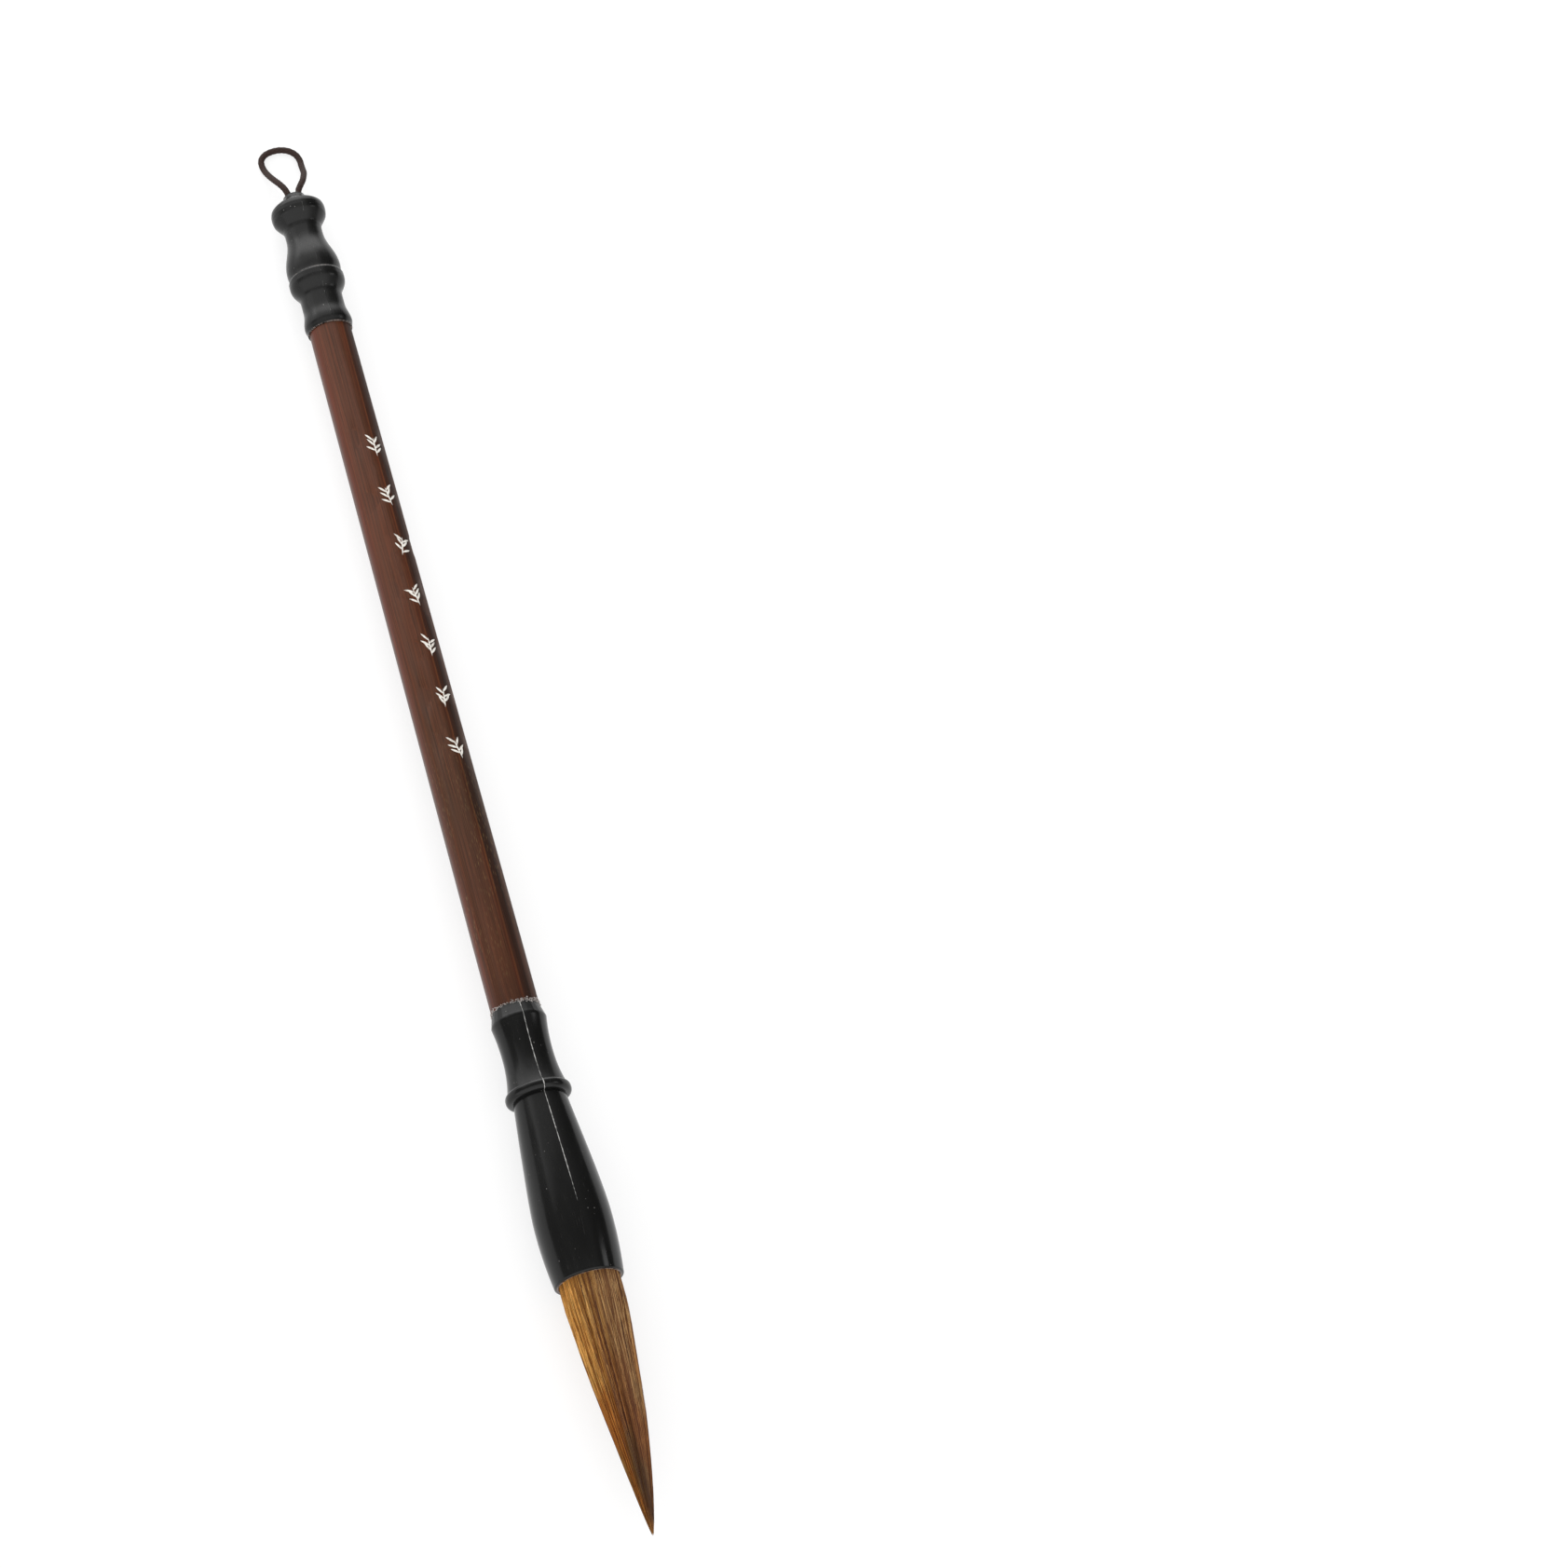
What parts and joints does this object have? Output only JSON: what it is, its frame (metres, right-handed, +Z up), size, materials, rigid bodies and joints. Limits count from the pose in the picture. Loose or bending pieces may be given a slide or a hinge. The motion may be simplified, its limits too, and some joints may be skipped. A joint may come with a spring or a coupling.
{
  "type": "calligraphy brush",
  "caption": "Writing brush with a pointed hair tuft in a swelling moulded ferrule, a slim wooden shaft and a waisted end cap with a cord loop to hang it by.",
  "frame": {"origin": "on the surface that the brush lies on, under the middle of its length from the cap's top face to the tip of the hair, without the cord loop", "axes": "the brush lies along Y, with its cap and loop towards +Y and its hair towards -Y; +Z is up, away from the surface; its axis drops towards the cap by half a degree, because the cap is thinner than the ferrule and both rest"},
  "size_m": [0.0154, 0.3171, 0.0155],
  "materials": {
    "black_moulding": "gloss",
    "lacquered_wood": "gloss lacquer",
    "white_paint": "matte",
    "cord": "braided",
    "glue": "rough",
    "amber_adhesive": "satin",
    "root_resin": "satin",
    "binding_thread": "matte",
    "cover_hair": "silky",
    "inner_hair": "silky",
    "core_hair": "silky"
  },
  "bodies": {
    "handle": {"end_cap": "black_moulding", "cord_strands": "cord", "cord_knot": "cord", "cap_glue": "glue", "handle_shaft": "lacquered_wood", "sprig_paint": "white_paint", "ferrule": "black_moulding", "ferrule_glue": "glue", "tuft_adhesive": "amber_adhesive", "root_resin": "root_resin", "root_hair": "inner_hair", "root_binding_thread": "binding_thread"},
    "tuft": {"tuft_cover_hair": "cover_hair", "tuft_filler_hair": "inner_hair", "tuft_core_hair": "core_hair"},
    "cord_loop": {"hanging_loop": "cord"}
  },
  "joints": [
    {"name": "tuft_bend", "type": "hinge", "parent": "handle", "child": "tuft", "pos_m": [0, -0.10035, 0.00786], "axis": [1, 0, 0], "range_deg": [-30, 30], "stiffness_Nm_per_rad": 0.02},
    {"name": "loop_swing", "type": "hinge", "parent": "handle", "child": "cord_loop", "pos_m": [0, 0.15164, 0.0057], "axis": [1, 0, 0], "range_deg": [-60, 100]}
  ]
}
